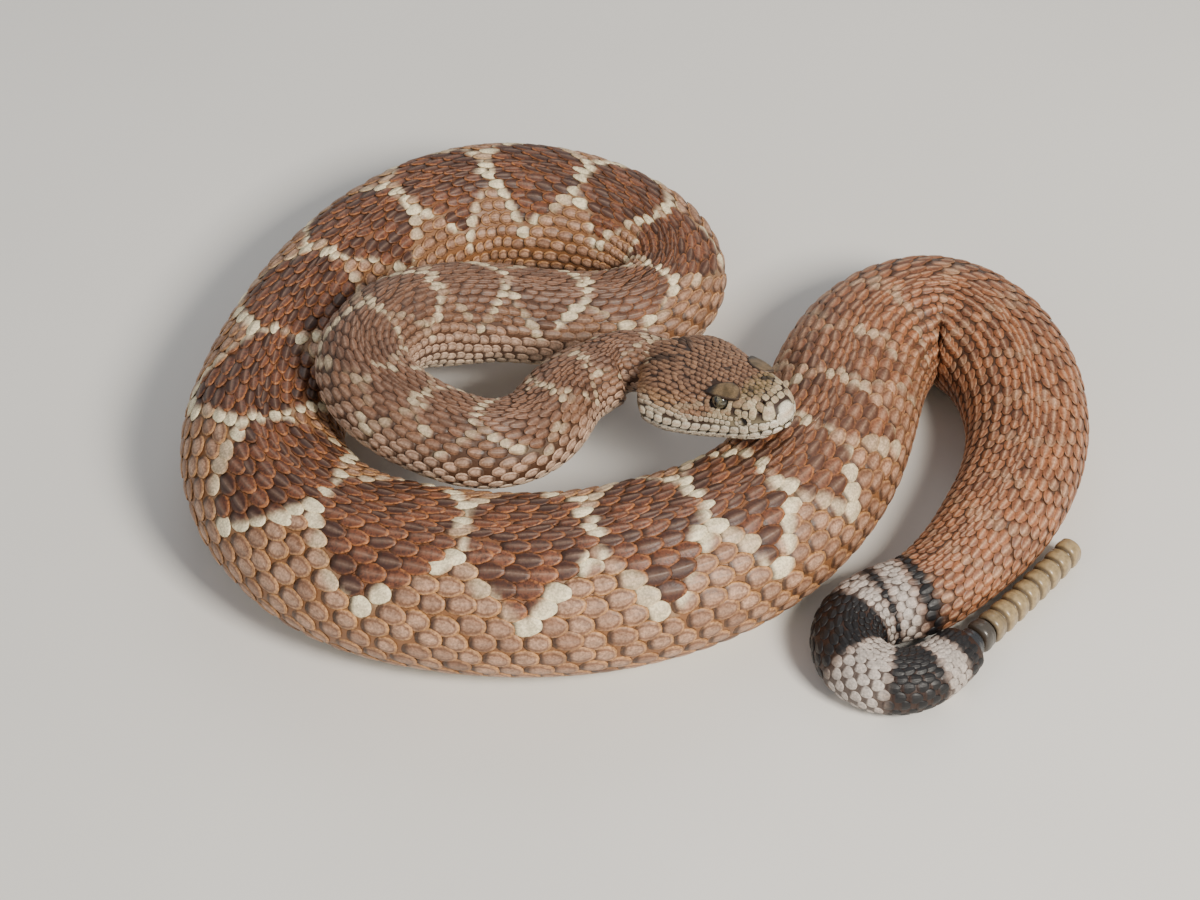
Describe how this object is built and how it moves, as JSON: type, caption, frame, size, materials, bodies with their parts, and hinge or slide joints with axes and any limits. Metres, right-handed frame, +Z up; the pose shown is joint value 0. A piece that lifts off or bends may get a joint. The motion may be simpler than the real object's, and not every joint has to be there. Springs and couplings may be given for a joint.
{
  "type": "western diamondback rattlesnake, life-size still model",
  "caption": "Coiled western diamondback rattlesnake at rest, head raised over its outer coil and the rattle laid out behind the tail.",
  "frame": {"origin": "on the floor under the middle of the coil's bounding box", "axes": "+X to the right of the picture's view, towards the rattle; +Y away from the viewer; +Z up"},
  "size_m": [0.267, 0.2121, 0.0584],
  "materials": {
    "rust_scales": "rust-red keeled scales with cream-edged darker diamonds",
    "dark_scales": "brown keeled scales with pinkish grey flanks",
    "orange_scales": "plain orange-brown keeled scales with a faint pattern",
    "head_scales": "small brown crown scales and pale face plates",
    "pale_jaw": "pale lip and chin scales",
    "eye_amber": "wet dark amber eye with an upright slit pupil",
    "banded_tail": "black and ash-white bands",
    "rattle_black": "blue-black glossy horn",
    "rattle_horn": "tan to olive horn, worn smooth"
  },
  "bodies": {
    "root": {"head": "head_scales", "lower_jaw": "pale_jaw", "eye_left": "eye_amber", "eye_right": "eye_amber", "neck": "dark_scales", "forebody_bend": "dark_scales", "forebody_coil": "dark_scales", "forebody_turn": "dark_scales", "midbody_inner": "rust_scales", "midbody_back": "rust_scales", "midbody_left": "rust_scales", "midbody_corner": "rust_scales", "midbody_front": "rust_scales", "midbody_right": "rust_scales", "hindbody_rise": "rust_scales", "hindbody_loop": "orange_scales", "hindbody_side": "orange_scales", "hindbody_end": "orange_scales", "tail_root": "banded_tail", "tail_tip": "banded_tail", "rattle_base": "rattle_black", "rattle": "rattle_horn"}
  },
  "joints": []
}
